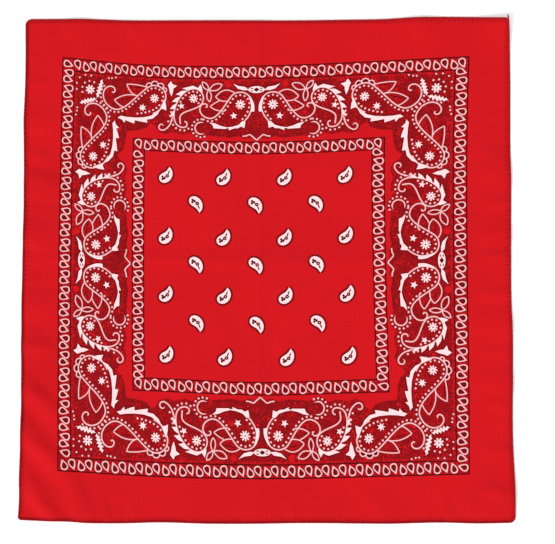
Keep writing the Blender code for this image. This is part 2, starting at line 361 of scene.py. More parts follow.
def outline_sides():
    """The four sides, anticlockwise from the top left corner, each between two corners' middles."""
    corners = [TOP_LEFT, BOTTOM_LEFT, BOTTOM_RIGHT, TOP_RIGHT]
    tables = [LEFT_SIDE, BOTTOM_SIDE, RIGHT_SIDE, TOP_SIDE]
    raw = []
    for i in range(4):
        raw.append(side_curve(corners[i], corners[(i + 1) % 4], tables[i], upright=i % 2 == 0))
    sides = []
    for i in range(4):
        start, end = corners[i], corners[(i + 1) % 4]
        total = run_lengths(raw[i])[-1]
        body = cut_between(raw[i], start.rounding, total - end.rounding)
        if start.rounding:
            before = raw[i - 1]
            other = points_at(before, [run_lengths(before)[-1] - start.rounding])[0]
            body = np.vstack([half_rounding(start, body[0], other)[:-1], body])
        if end.rounding:
            other = points_at(raw[(i + 1) % 4], [end.rounding])[0]
            body = np.vstack([body, half_rounding(end, body[-1], other)[::-1][1:]])
        sides.append(body)
    return sides


def inward_normals(ring):
    """At each point of an anticlockwise ring, the way in, long enough to keep mitred corners."""
    forward = np.roll(ring, -1, axis=0) - ring
    forward = forward / np.linalg.norm(forward, axis=1)[:, None]
    left = np.column_stack([-forward[:, 1], forward[:, 0]])
    mean = left + np.roll(left, 1, axis=0)
    mean = mean / np.linalg.norm(mean, axis=1)[:, None]
    return mean / np.sum(mean * left, axis=1)[:, None]


def ridge_rise(x, y, ridge):
    """The rise of one ridge over the table."""
    run = np.array([ridge.x1 - ridge.x0, ridge.y1 - ridge.y0])
    length = np.linalg.norm(run)
    run = run / length
    along = (x - ridge.x0) * run[0] + (y - ridge.y0) * run[1]
    across = (y - ridge.y0) * run[0] - (x - ridge.x0) * run[1]
    end_fade = min(RIDGE_FADE_SHARE * length, RIDGE_FADE_LIMIT)
    from_end = np.clip(np.minimum(along, length - along) / end_fade, 0, 1)
    over_width = np.clip(1 - (across / ridge.half_width) ** 2, 0, 1)
    return ridge.height * over_width**2 * from_end**2 * (3 - 2 * from_end)


def lift(x, y):
    """How far the solid's underside is off the table, and 0 where it rests."""
    reach = np.hypot(x - TOP_RIGHT.x, y - TOP_RIGHT.y) / CORNER_CURL_REACH
    rise = CORNER_CURL_HEIGHT * np.clip(1 - reach, 0, 1) ** CORNER_CURL_POWER
    for ridge in PRESSED_RIDGES + MARGIN_RIDGES:
        rise = rise + ridge_rise(x, y, ridge)
    return rise


def cloth_lift(x, y):
    """The lift of the thin cloth, with its finer creases."""
    rise = lift(x, y)
    for crease in FOLD_EDGES + PUCKERS:
        rise = rise + ridge_rise(x, y, crease)
    return rise


def laid(flat):
    """Where places of the flat print lie on the table."""
    u, v = flat[:, 0], flat[:, 1]
    across = []
    for row in LAID_ROWS:
        places = np.array(row[1:])
        across.append([smooth_through(PRINT_PLACES, places[:, axis], u) for axis in (0, 1)])
    across = np.array(across)
    heights = [row.v for row in LAID_ROWS]
    return np.column_stack([smooth_through(heights, across[:, axis], v) for axis in (0, 1)])


# ---------------------------------------------------------------- drawing lines

BEND_POINTS = 25
SWEEP_POINTS = 21
CURL_DEGREES = 10
CURL_FEWEST = 7


def unit(vector):
    return vector / np.linalg.norm(vector)


def square_to(start, end):
    """The way to the left of a straight line from the start to the end."""
    return unit(np.array([-(end - start)[1], (end - start)[0]]))


def around(centre, reach, degrees):
    """The place at a distance and angle from a centre."""
    angle = math.radians(degrees)
    return centre[0] + reach * math.cos(angle), centre[1] + reach * math.sin(angle)


def circle(centre, reach, angle):
    """Places round a centre, at many angles in radians."""
    return np.column_stack([centre[0] + reach * np.cos(angle), centre[1] + reach * np.sin(angle)])


def bend(*guides):
    """A curve from the first guide point to the last, pulled towards those between."""
    t = np.linspace(0, 1, BEND_POINTS)[:, None]
    points = [np.array(guide, float) + 0 * t for guide in guides]
    while len(points) > 1:
        points = [(1 - t) * a + t * b for a, b in zip(points, points[1:])]
    return points[0]


def curl(pole, radius, start, sweep, growth=0.0):
    """A spiral that opens from its inner end, or an arc where it doesn't grow. Angles in degrees."""
    count = max(CURL_FEWEST, int(abs(sweep) / CURL_DEGREES))
    turn = np.radians(np.linspace(0, sweep, count))
    reach = radius * np.exp(growth * np.abs(turn))
    return circle(pole, reach, math.radians(start) + turn)


def flow(*pieces, fullness=1.0):
    """One line through several pieces, with a smooth sweep from each to the next."""
    line = np.asarray(pieces[0], float)
    between = np.linspace(0, 1, SWEEP_POINTS)[1:-1, None]
    start, start_slope, end, end_slope = sweep_shares(between)
    for piece in pieces[1:]:
        piece = np.asarray(piece, float)
        gap = np.linalg.norm(piece[0] - line[-1]) * fullness
        out = unit(line[-1] - line[-2]) * gap
        into = unit(piece[1] - piece[0]) * gap
        sweep = start * line[-1] + start_slope * out + end * piece[0] + end_slope * into
        line = np.vstack([line, sweep, piece])
    return line


def sideways(points):
    """The way to the left of a line at each of its points."""
    forward = np.gradient(points, axis=0)
    forward = forward / np.maximum(np.linalg.norm(forward, axis=1), 1e-9)[:, None]
    return np.column_stack([-forward[:, 1], forward[:, 0]])


def beside(points, offset):
    """The line that runs beside another, to its left where the offset is positive."""
    points = even(points, 1.5)
    return points + sideways(points) * offset


def part_of(points, first, last):
    """The part of a line between two shares of its length."""
    total = run_lengths(points)[-1]
    return cut_between(points, first * total, last * total)


def closed(points):
    return np.vstack([points, points[:1]])


def ring_of(centre, radius, sides, turn=0.0):
    """The corners of a regular polygon."""
    angle = math.radians(turn) + 2 * math.pi * np.arange(sides) / sides
    return circle(centre, radius, angle)


def teardrop(centre, angle, length, width, hook=0.0, count=20):
    """A drop's outline, with its point towards the angle and bent to its left by the hook."""
    t = 2 * math.pi * np.arange(count) / count
    x = np.cos(t)
    y = np.sin(t) * np.sin(t / 2) ** 1.3
    y = y / y.max() * width / 2
    x = x * length / 2
    y = y + hook * (x / length + 0.5) ** 2 * length
    c, s = math.cos(math.radians(angle)), math.sin(math.radians(angle))
    return np.column_stack([centre[0] + x * c - y * s, centre[1] + x * s + y * c])


class Print:
    """Shapes of ink on the flat cloth, each in its layer."""

    def __init__(self):
        self.shapes = []

    def area(self, ink, points, layer):
        self.shapes.append(Shape(layer, ink, np.asarray(points, float), [list(range(len(points)))]))

    def stroke(self, points, width, ink=WHITE, layer=LINE, step=2.2, taper=0.0):
        """A ribbon of ink along a line. Its ends narrow over the taper's share of its length."""
        points = even(np.asarray(points, float), step)
        count = len(points)
        place = np.linspace(0, 1, count)
        half = np.full(count, width / 2)
        if taper:
            half = half * np.clip(np.minimum(place, 1 - place) / taper, 0.25, 1)
        left = sideways(points) * half[:, None]
        faces = [[i, count + i, count + i + 1, i + 1] for i in range(count - 1)]
        self.shapes.append(Shape(layer, ink, np.vstack([points + left, points - left]), faces))

    def outlined(self, points, width=1.5, rim=0.65, taper=0.0):
        """A white line with a black rim."""
        self.stroke(points, width + 2 * rim, SOFT_BLACK, HALO, step=3.2)
        self.stroke(points, width, LINE_WHITE, LINE, taper=taper)

    def shape(self, points, rim=1.6):
        """A white shape with a black rim."""
        self.stroke(closed(np.asarray(points, float)), 2 * rim, RIM_BLACK, HALO, step=2.9)
        self.area(WHITE, points, LINE)

    def inside(self, *lines):
        """The scribble inside a paisley, between the lines round it."""
        self.area(SCRIBBLE, np.vstack([even(line, 4) for line in lines]), FILL)

    def spot(self, centre, radius=1.1, rim=0.7):
        if rim:
            self.area(SOFT_BLACK, ring_of(centre, radius + rim, 6), HALO)
        self.area(SOFT_WHITE, ring_of(centre, radius, 6, 20), LINE)

    def beads(self, line, offset, first, last, spacing=4.9, radius=1.2):
        """A row of white spots beside a line, in a black band."""
        row = even(part_of(beside(line, offset), first, last), spacing)
        self.stroke(row, 2 * radius + 0.9, BEAD_BLACK, HALO, step=2.8)
        for centre in row:
            self.spot(centre, radius, rim=0)

    def flower(self, centre, radius, petals, turn=0.0):
        """A round flower of square petals with a dark eye."""
        points = []
        for petal in range(petals):
            middle = turn + 360.0 * petal / petals
            for away, reach in ((-0.5, 0.42), (-0.24, 0.95), (0.0, 1.04), (0.24, 0.95)):
                points.append(around(centre, radius * reach, middle + away * 360.0 / petals))
        self.area(SOFT_BLACK, ring_of(centre, radius + 0.7, 12), MARK)
        self.area(WHITE, points, LINE)
        self.area(BLACK, ring_of(centre, 0.17 * radius, 6), TOP_MARK)

    def star(self, centre, radius, rays, turn=90.0):
        """A star with a dark ground."""
        points = []
        for corner in range(2 * rays):
            reach = radius if corner % 2 == 0 else 0.46 * radius
            points.append(around(centre, reach, turn + 180.0 * corner / rays))
        self.area(SOFT_BLACK, ring_of(centre, 0.95 * radius, 10), MARK)
        self.area(WHITE, points, LINE)

    def leaf(self, edge, other_edge, width=1.25):
        """A leaf between two edges that both run from its foot to its point."""
        edge, other_edge = even(edge, 2.2), even(other_edge, 2.2)
        self.area(LEAF_HATCHED, np.vstack([edge, other_edge[::-1][1:-1]]), FILL)
        self.outlined(edge, width, rim=0.55)
        self.outlined(other_edge, width, rim=0.55)
        foot, point = edge[0], edge[-1]
        middle = (edge[len(edge) // 2] + other_edge[len(other_edge) // 2]) / 2
        vein = bend(0.8 * foot + 0.2 * middle, middle, 0.75 * point + 0.25 * middle)
        self.stroke(vein, 0.8, BLACK, MARK, step=3.0, taper=0.3)

    def bent_leaf(self, point, foot, guide, other_foot, other_guide):
        """A leaf with a broad foot, whose two edges bend towards a guide each."""
        self.leaf(bend(foot, guide, point), bend(other_foot, other_guide, point))

    def simple_leaf(self, foot, point, width):
        """A leaf with two alike edges."""
        foot, point = np.array(foot, float), np.array(point, float)
        across = square_to(foot, point) * width
        middle = 0.45 * foot + 0.55 * point
        self.leaf(bend(foot, middle + across, point), bend(foot, middle - across, point))

    def flames(self, line, rows, overlap):
        """White flames to the left of a line, with their points leaning back along it."""
        line = even(line, 1.0)
        out = sideways(line)
        total = run_lengths(line)

        def off(place, reach):
            where = points_at(line, [place])[0]
            away = unit(np.array([np.interp(place, total, out[:, axis]) for axis in (0, 1)]))
            return where + away * reach

        for row in rows:
            outline = [off(row.at + share * row.foot, -overlap) for share in (0, 0.34, 0.67, 1)]
            for share, reach in ((0.82, 0.3), (0.46, 0.64)):
                outline.append(off(row.at + share * row.foot, reach * row.reach))
            outline.append(off(max(row.at - row.lean, 0), row.reach))
            self.shape(np.array(outline))

    def jagged(self, start, end, width, teeth):
        """A straight spray with notched sides, pointed at both ends."""
        start, end = np.array(start, float), np.array(end, float)
        across = square_to(start, end)
        one, two = [], []
        for i, place in enumerate(np.linspace(0, 1, 2 * teeth + 1)[1:-1]):
            depth = 1.0 if i % 2 else NOTCH_DEPTH
            reach = width / 2 * depth * math.sin(math.pi * (0.12 + 0.76 * place))
            one.append(start + (end - start) * (place + NOTCH_LEAN) + across * reach)
            two.append(start + (end - start) * (place - NOTCH_LEAN) - across * reach)
        self.shape(np.array([start] + two + [end] + one[::-1]))


# ---------------------------------------------------------------- the print's motifs


def half_side_motifs():
    """The paisleys of half a side: x from its middle towards the left, y in from the outer rule."""
    p = Print()

    # The paisley by the corner: a curl, a sweep up to its head, and a notched crescent below.
    curl_a = curl((-165.0, -33.5), 1.0, -135, 401, 0.42)
    head_a = curl((-116.0, -37.0), 13.2, 132, -168)
    line_a = flow(curl_a, head_a)
    back_a = flow(head_a[-2:], bend((-107, -49.5), (-120, -64), (-156.5, -62)), fullness=0.8)
    p.inside(part_of(line_a, 0.36, 1.0), back_a)
    for angle, radius in ((118, 3.4), (91, 4.1), (62, 3.6), (36, 2.6)):
        where = around((-116, -37), 14.0, angle)
        p.area(BLACK, ring_of(where, radius, 10), HALO)
        p.outlined(curl(where, radius, angle - 100, 200), 1.35, rim=0.5)
    p.outlined(line_a)
    p.outlined(part_of(back_a, 0.02, 0.34))
    crescent = [(-108.4, -50.5), (-113.4, -55.6), (-120.0, -59.6), (-128.0, -61.6), (-138.0, -62.4)]
    crescent += [(-148.0, -62.0), (-154.6, -61.0), (-158.0, -63.8), (-153.6, -65.0), (-149.8, -69.0)]
    crescent += [(-149.0, -65.8), (-143.6, -67.8), (-138.2, -69.2), (-138.0, -65.4), (-131.0, -66.6)]
    crescent += [(-123.2, -67.6), (-124.0, -64.0), (-117.4, -62.6), (-111.8, -57.6)]
    p.shape(crescent)
    blade = [(-104.4, -39), (-102.4, -46), (-101.8, -52.6), (-105.4, -51), (-109.2, -50.4)]
    p.shape(blade + [(-107, -45.4)])
    p.beads(line_a, -3.1, 0.22, 0.985)
    p.beads(back_a, -3.9, 0.12, 0.62)
    p.flower((-116.0, -39.0), 5.0, 9, 10)
    p.star((-129.5, -50.5), 4.7, 7, 80)
    p.bent_leaf((-148.7, -24.2), (-125.5, -26.2), (-138, -23), (-135, -37), (-144, -36.5))
    p.bent_leaf((-162.5, -43.4), (-135.5, -37), (-150, -33.5), (-151, -51.2), (-157, -49.5))
    for place in ((-170.0, -18.8), (-166.3, -18.5), (-161.8, -17.4)):
        p.spot(place)

    # The dagger between the first two paisleys.
    dagger = [(-97.4, -18.2), (-95.4, -21.8), (-90.2, -23.4), (-94.4, -26.8), (-94.8, -30.8)]
    dagger += [(-96.4, -36.0), (-98.6, -31.0), (-99.4, -27.0), (-101.0, -23.0), (-99.4, -20.4)]
    p.shape(dagger)

    # The middle paisley: it stands on a small hook, with flames up its back.
    hook_b = curl((-81.0, -67.0), 2.8, 85, -185, 0.13)
    head_b = curl((-70.6, -37.2), 11.0, 112, -172)
    line_b = flow(hook_b, head_b, fullness=1.3)
    tail_b = flow(head_b[-2:], [(-86.2, -61.5), (-85.4, -67.5)])
    p.inside(part_of(line_b, 0.3, 1.0), tail_b)
    p.outlined(line_b)
    p.outlined(tail_b)
    rows_b = [FlameRow(31, 6, 4.2, 1), FlameRow(38.5, 6.5, 5.4, 1), FlameRow(47, 7, 5.8, 2)]
    rows_b += [FlameRow(56, 8, 5.8, 2.5), FlameRow(66, 14, 5.4, 4), FlameRow(77, 7, 6.6, -1)]
    p.flames(line_b, rows_b, 0.3)
    p.beads(line_b, -3.2, 0.32, 0.97)
    p.flower((-71.0, -37.6), 5.0, 9, 0)
    p.star((-84.6, -46.8), 3.8, 5, 100)
    scroll = flow(curl((-106.6, -71.2), 2.2, 20, 290, 0.15), [(-96.2, -66.0), (-94.0, -58.5)])
    p.outlined(scroll, taper=0.08)
    p.beads(scroll, 3.2, 0.62, 0.96)
    p.beads(part_of(line_b, 0.0, 0.34), 3.5, 0.3, 1.0)

    # The sprig of three leaves.
    p.simple_leaf((-53.8, -27.8), (-61.2, -18.4), 5.2)
    p.simple_leaf((-53.0, -27.6), (-38.6, -21.2), 7.2)
    p.simple_leaf((-53.8, -27.0), (-52.8, -41.2), 5.2)

    # The paisley beside the middle, with two leaves on its sweep and a notched leaf below.
    curl_c = curl((-56.8, -46.8), 0.7, -120, 395, 0.42)
    head_c = curl((-18.0, -43.2), 13.4, 150, -165)
    line_c = flow(curl_c, head_c, [(-12.0, -61.0), (-17.0, -66.5)])
    belly_c = flow([(-15.5, -65.0), (-17.5, -66.8)], bend((-25, -70), (-36, -71), (-53, -64.5)))
    p.inside(part_of(line_c, 0.42, 1.0), part_of(belly_c, 0.1, 0.9))
    p.outlined(line_c)
    notched = [(-52.8, -64.4), (-46, -65.6), (-40, -68.2), (-33, -69.8), (-34, -71.6), (-47.8, -71.2)]
    p.shape(notched + [(-48.8, -67.8)])
    notched = [(-35, -70.2), (-27, -69), (-20, -66.8), (-15.6, -62.4), (-12.4, -63.4), (-13.4, -70.2)]
    notched += [(-17.4, -68.6), (-20.6, -70.6), (-25, -70.8), (-30.8, -73.2), (-30.2, -71.2)]
    p.shape(notched)
    outer = bend((-9.4, -33.2), (-0.8, -40.5), (-2.5, -51.8))
    inner = bend((-6.8, -51.8), (-4.6, -44), (-9.4, -33.2))
    p.shape(np.vstack([even(outer, 3), even(inner, 3)[:-1]]))
    p.beads(line_c, -3.2, 0.33, 0.96)
    p.flower((-18.0, -43.8), 5.4, 9, 5)
    p.star((-25.4, -56.6), 4.2, 5, 96)
    p.bent_leaf((-45.8, -35.2), (-24.6, -30.6), (-36, -22.5), (-31, -40), (-41.5, -41.5))
    p.bent_leaf((-51.8, -46.4), (-41.5, -39.8), (-47, -42), (-35.4, -51.2), (-46, -52))

    # The fringe of short leaning strokes that ends the ground under the two notched leaves.
    for first, last, reach in ((-146.0, -122.0, 4.4), (-50.0, -14.0, 4.8)):
        for x in np.arange(first, last, 2.7):
            y = np.interp(x, [row.x for row in GROUND_LIMIT], [row.y for row in GROUND_LIMIT])
            hair = [(x - 1.3, y + reach - 1.6), (x + 1.1, y - 1.4)]
            p.stroke(hair, 1.15, FRINGE, FILL, step=2.4, taper=0.5)

    # The hook below, the white spray by the braid, and the chevron under it.
    hook = curl((-62.0, -71.4), 6.8, 66, 236)
    p.outlined(hook, taper=0.12)
    p.beads(hook, -3.5, 0.08, 0.97)
    spray = [(-8.5, -27.6), (-12.5, -24.0), (-20.0, -22.9), (-26.0, -20.4), (-20.6, -26.0)]
    p.shape(spray + [(-14.5, -27.8)])
    p.area(CLOTH, ring_of((-31.5, -21.0), 3.6, 9), FILL)
    chevron = np.array([(-15.5, -79.6), (-11.0, -79.0), (-7.5, -77.3), (-4.4, -80.0), (-0.1, -83.9)])
    p.outlined(chevron, 1.4, rim=0.6)
    return p.shapes


def braid_motif():
    """The knot in the middle of a side: a white oval with a diamond and slits cut out."""
    p = Print()
    t = 2 * math.pi * np.arange(16) / 16
    oval = np.column_stack([9.2 * np.cos(t), -27.2 + 3.9 * np.sin(t)])
    p.shape(oval)
    p.area(BLACK, [(-3.4, -27.2), (0, -29.6), (3.4, -27.2), (0, -24.8)], TOP_MARK)
    for x in (-5.1, 5.1):
        for y in (-25.7, -28.7):
            slit = np.column_stack([x + 1.9 * np.cos(t[::3]), y + 0.7 * np.sin(t[::3])])
            p.area(BLACK, slit, TOP_MARK)
    return p.shapes


def corner_motifs():
    """The flower in a corner, with its two rings of spots and its two sprays."""
    p = Print()
    centre = (-191.5, -33.5)
    p.area(SOFT_BLACK, ring_of(centre, 6.6, 12), FILL)
    p.flower(centre, 5.3, 8, 20)
    for step in (-2, -1, 0, 1, 2):
        p.spot(around(centre, 9.6, 132 + 35 * step), 1.2)
        p.spot(around(centre, (17.8, 17.0, 15.8)[abs(step)], 135 + 24 * step), 1.1)
    p.jagged((-183.6, -43.0), (-177.0, -20.5), 6.6, 6)
    p.jagged((-183.4, -43.6), (-204.0, -49.5), 6.6, 6)
    return p.shapes


def turned(shapes, quarter_turns, mirrored=False):
    """Shapes of the top side's left half, moved to another side or half of the flat cloth."""
    moved = []
    for shape in shapes:
        u = -shape.points[:, 0] if mirrored else shape.points[:, 0]
        v = shape.points[:, 1] + OUTER_RULE
        for _ in range(quarter_turns):
            u, v = -v, u
        moved.append(Shape(shape.layer, shape.ink, np.column_stack([u, v]), shape.faces))
    return moved


def square(half, step=6.0):
    """The outline of a square round the middle, with close points."""
    corners = closed(np.array([(-half, -half), (half, -half), (half, half), (-half, half)], float))
    sides = [even(corners[i : i + 2], step)[:-1] for i in range(4)]
    return np.vstack(sides)


def ground_limit():
    """The inner limit of the scribbled ground, which follows the motifs on all four sides."""
    left = [(row.x, row.y + OUTER_RULE - GROUND_EXTRA) for row in GROUND_LIMIT]
    side = np.array(left + [(-x, y) for x, y in left[-2::-1]])
    sides = [side]
    for _ in range(3):
        side = np.column_stack([side[:, 1], -side[:, 0]])
        sides.append(side)
    return np.vstack(sides)


def drop_chain(p, half, width, rows):
    """A border of drops that lean the same way on all four sides."""
    middle = half - width / 2
    for row in rows:
        for k, along in enumerate(np.linspace(row.first, row.last, row.drops)):
            across = middle if row.side in ("top", "right") else -middle
            centre = (along, across) if row.side in ("top", "bottom") else (across, along)
            drop(p, centre, row.point + 180 * (k % 2))


def drop(p, centre, angle):
    """A white drop with a dark eye."""
    way = np.array([math.cos(math.radians(angle)), math.sin(math.radians(angle))])
    outer = np.asarray(centre, float) - DROP_SHIFT * way
    inner = outer - EYE_SHIFT * way
    p.area(SOFT_WHITE, teardrop(outer, angle, DROP_LENGTH, DROP_WIDTH, DROP_HOOK, count=15), LINE)
    p.area(DROP_EYE, teardrop(inner, angle, EYE_LENGTH, EYE_WIDTH, count=11), TOP_MARK)


def field_paisley(p, centre, tip_up):
    """A small white paisley with a curled tip and a dark sprig inside."""
    flip = np.array([1, 1 if tip_up else -1])
    centre = np.array(centre) + (0 if tip_up else np.array(FIELD_TIP_DOWN_SHIFT))
    p.shape(centre + flip * np.array(FIELD_OUTLINE), rim=2.3)
    for x, y, radius in FIELD_SPRIG:
        p.area(BLACK, ring_of(centre + flip * (x, y), radius, 7), TOP_MARK)
    p.area(WHITE, ring_of(centre + flip * FIELD_SPRIG[-1][:2], 0.55, 5), EYE)
    p.stroke(centre + flip * np.array(FIELD_STEM), 1.2, BLACK, TOP_MARK, step=2.0)
    p.stroke(centre + flip * np.array(FIELD_TIP_LINE), 1.5, BLACK, TOP_MARK, step=1.5, taper=0.3)


def printed_shapes():
    """Every shape of ink on the flat cloth, in the order it is laid."""
    p = Print()
    outer, outer_end = OUTER_RULE, OUTER_RULE - OUTER_CHAIN
    inner, inner_end = INNER_RULE, INNER_RULE - INNER_CHAIN
    grounds = [
        (BLACK, square(outer)),
        (CLOTH, square(outer - RULE_WIDTH)),
        (HATCHED, square(outer - HATCH_INSET)),
        (CLOTH, square(outer_end + HATCH_INSET)),
        (BLACK, square(outer_end + RULE_WIDTH)),
        (LIGHT_SCRIBBLE, square(outer_end)),
        (SCRIBBLE, square(outer - SCRIBBLE_FROM)),
        (CLOTH, ground_limit()),
        (BLACK, square(inner)),
        (CLOTH, square(inner - RULE_WIDTH)),
        (HATCHED, square(inner - HATCH_INSET)),
        (CLOTH, square(inner_end + HATCH_INSET)),
        (BLACK, square(inner_end + RULE_WIDTH)),
        (CLOTH, square(inner_end)),
    ]
    for ink, points in grounds:
        p.area(ink, points, GROUND)
    drop_chain(p, OUTER_RULE, OUTER_CHAIN, OUTER_DROPS)
    drop_chain(p, INNER_RULE, INNER_CHAIN, INNER_DROPS)
    for row in FIELD_ROWS:
        for place in row.places:
            field_paisley(p, (place, row.v), row.tip_up)
    half, braid, corner = half_side_motifs(), braid_motif(), corner_motifs()
    for quarter_turns in range(4):
        p.shapes += turned(half, quarter_turns)
        p.shapes += turned(half, quarter_turns, mirrored=True)
        p.shapes += turned(braid, quarter_turns)
        p.shapes += turned(corner, quarter_turns)
    return sorted(p.shapes, key=lambda shape: shape.layer)


# ---------------------------------------------------------------- the printed cloth


def crease_points():
    """Extra points across the pressed folds, so that their fine edges keep their shape."""
    found = []
    for crease in FOLD_EDGES:
        start, end = np.array([crease.x0, crease.y0]), np.array([crease.x1, crease.y1])
        run = even(np.array([start, end]), 6.0)[1:-1]
        for offset in (-4.5, -2.2, 0.0, 2.2, 4.5):
            found.append(run + square_to(start, end) * offset)
    return np.vstack(found)


def inside_of(points, polygon):
    """Which points lie inside a polygon, by how often a line from them crosses its sides."""
    x, y = points[:, 0], points[:, 1]
    inside = np.zeros(len(points), bool)
    for (x0, y0), (x1, y1) in zip(polygon, np.roll(polygon, -1, axis=0)):
        if y0 != y1:
            inside ^= ((y0 > y) != (y1 > y)) & (x < (x1 - x0) * (y - y0) / (y1 - y0) + x0)
    return inside


def clear_of(points, ring, margin):
    """Which points are further from each of the ring's points than the margin."""
    clear = np.ones(len(points), bool)
    for x, y in ring:
        clear &= (points[:, 0] - x) ** 2 + (points[:, 1] - y) ** 2 > margin**2
    return clear


def finished(tool, name, materials):
    """The mesh that an editing tool holds, with its materials."""
    mesh = bpy.data.meshes.new(name)
    tool.to_mesh(mesh)
    tool.free()
    for material in materials:
        mesh.materials.append(material)
    return mesh


def placed(thing):
    """Puts an object into the scene."""
    bpy.context.scene.collection.objects.link(thing)
    return thing


class Buckets:
    """Points sorted into square cells, to find those near a shape quickly."""

    def __init__(self, points, size=6.0):
        self.size = size
        self.lowest = points.min(axis=0)
        cells = ((points - self.lowest) / size).astype(int)
        self.columns = cells[:, 0].max() + 1
        keys = cells[:, 1] * self.columns + cells[:, 0]
        self.order = np.argsort(keys, kind="stable")
        self.keys = keys[self.order]

    def near(self, polygon):
        first = np.maximum(((polygon.min(axis=0) - self.lowest) / self.size).astype(int), 0)
        last = ((polygon.max(axis=0) - self.lowest) / self.size).astype(int)
        rows = np.arange(first[1], last[1] + 1) * self.columns
        starts = np.searchsorted(self.keys, rows + first[0])
        ends = np.searchsorted(self.keys, rows + min(last[0], self.columns - 1), side="right")
        return np.concatenate([self.order[a:b] for a, b in zip(starts, ends)])


def loop_edges(corners):
    return np.column_stack([corners, np.roll(corners, -1)])


def cloth_layer(ring, inner, shapes):
    """Triangles of one face of the cloth, each with the ink that lies on top there, and on the
    printed face painted shade near the edge.
    """
    points, edges, polygons = [ring, inner], [loop_edges(np.arange(len(ring)))], []
    count = len(ring) + len(inner)
    for shape in shapes:
        places = laid(shape.points)
        for face in shape.faces:
            corners = np.array(face)
            edges.append(loop_edges(corners) + count)
            polygons.append((places[corners], shape.ink))
        points.append(places)
        count += len(places)
    flat = [Vector((float(x), float(y))) for x, y in np.vstack(points)]
    lines = [(int(a), int(b)) for a, b in np.vstack(edges)]
    made = delaunay_2d_cdt(flat, lines, [], 0, MERGE_DISTANCE, True)
    places = np.array([tuple(v) for v in made[0]])
    triangles = np.array(made[2])
    centres = places[triangles].mean(axis=1)
    kept = inside_of(centres, ring)
    triangles, centres = triangles[kept], centres[kept]
    inks = np.zeros((len(triangles), 4), np.float32)
    buckets = Buckets(centres)
    for polygon, ink in polygons:
        near = buckets.near(polygon)
        inks[near[inside_of(centres[near], polygon)]] = ink
    if shapes:
        # Painted shade: the black ink deepens towards the edge, standing in for the rolled hem's
        # shadow.
        inks[:, 1] += PAINTED_HEM_SHADOW * painted_hem_shadow_share(centres, ring)
    rim = {}
    for index, sources in enumerate(made[3]):
        for source in sources:
            if source < len(ring):
                rim[source] = index
    return places, triangles, inks, [rim[i] for i in range(len(ring))]


def painted_hem_shadow_share(points, ring):
    """How near each point is to the edge, as the share of painted hem shadow: 1 at the edge, and 0
    further in than its reach.
    """
    # Only a frame along the sides is searched: the sides bow in by less than 10.
    frame_width = 2 * PAINTED_HEM_SHADOW_REACH + 10
    lowest, highest = ring.min(axis=0) + frame_width, ring.max(axis=0) - frame_width
    outer = np.flatnonzero(((points < lowest) | (points > highest)).any(axis=1))
    nearest = np.full(len(outer), np.inf)
    for x, y in ring:
        nearest = np.minimum(nearest, (points[outer, 0] - x) ** 2 + (points[outer, 1] - y) ** 2)
    share = np.zeros(len(points))
    share[outer] = np.clip(1 - np.sqrt(nearest) / PAINTED_HEM_SHADOW_REACH, 0, 1)
    return share


def add_layer(tool, places, triangles, rise, upwards):
    """One face of the cloth as mesh faces. Gives back its vertices."""
    heights = (cloth_lift(places[:, 0], places[:, 1]) + rise) * MM
    verts = [tool.verts.new((x * MM, y * MM, z)) for (x, y), z in zip(places, heights)]
    for a, b, c in triangles:
        tool.faces.new((verts[a], verts[b], verts[c]) if upwards else (verts[c], verts[b], verts[a]))
    return verts


def surface_normals(places):
    """The way up from the cloth at each place."""
    x, y, step = places[:, 0], places[:, 1], NORMAL_STEP
    slope_x = (cloth_lift(x + step, y) - cloth_lift(x - step, y)) / (2 * step)
    slope_y = (cloth_lift(x, y + step) - cloth_lift(x, y - step)) / (2 * step)
    normals = np.column_stack([-slope_x, -slope_y, np.ones(len(x))])
    return normals / np.linalg.norm(normals, axis=1)[:, None]


def build_cloth(ring, material):
    """The cloth: a thin shell, printed on top."""
    lowest, highest = ring.min(axis=0), ring.max(axis=0)
    x = np.arange(lowest[0] + GRID_START, highest[0], GRID_STEP)
    y = np.arange(lowest[1] + GRID_START, highest[1], GRID_STEP)
    grid = np.stack(np.meshgrid(x, y), axis=-1).reshape(-1, 2)
    inner = grid[inside_of(grid, ring) & clear_of(grid, ring, GRID_CLEARANCE)]
    top_inner = np.vstack([inner, crease_points()])
    top, top_faces, inks, top_rim = cloth_layer(ring, top_inner, printed_shapes())
    under, under_faces, _, under_rim = cloth_layer(ring, inner, [])

    tool = bmesh.new()
    upper = add_layer(tool, top, top_faces, CLOTH_UNDERSIDE + CLOTH_THICKNESS, True)
    lower = add_layer(tool, under, under_faces, CLOTH_UNDERSIDE, False)
    for i in range(len(top_rim)):
        j = (i + 1) % len(top_rim)
        a, b = upper[top_rim[i]], upper[top_rim[j]]
        c, d = lower[under_rim[j]], lower[under_rim[i]]
        tool.faces.new((b, a, d, c))

    mesh = finished(tool, "printed_cloth", [material])
    mesh.shade_smooth()
    colours = np.zeros((len(mesh.polygons), 4), np.float32)
    colours[: len(inks)] = inks
    # The black of the print also carries the painted shade beside the hems.
    printed = mesh.attributes.new("print", "FLOAT_VECTOR", "FACE").data
    printed.foreach_set("vector", colours[:, :3].ravel())
    hatched = mesh.attributes.new("hatching", "FLOAT", "FACE").data
    hatched.foreach_set("value", np.ascontiguousarray(colours[:, 3]))

    # The printed face fills its own map, and the plain underside shares a small corner of it.
    corners = np.empty(len(mesh.loops), np.int32)
    mesh.loops.foreach_get("vertex_index", corners)
    on_top = (corners < len(top))[:, None]
    share = (np.vstack([top, under])[corners] - lowest) / (highest - lowest).max()
    mapped = np.where(on_top, 0.005 + 0.965 * share, 0.98 + 0.015 * share).astype(np.float32)
    mesh.uv_layers.new(name="OFBake").data.foreach_set("uv", mapped.ravel())

    normals = np.vstack([surface_normals(top), -surface_normals(under)])
    mesh.normals_split_custom_set_from_vertices([Vector(normal) for normal in normals])
    return placed(bpy.data.objects.new("printed_cloth", mesh))


# ---------------------------------------------------------------- the overlocked hems


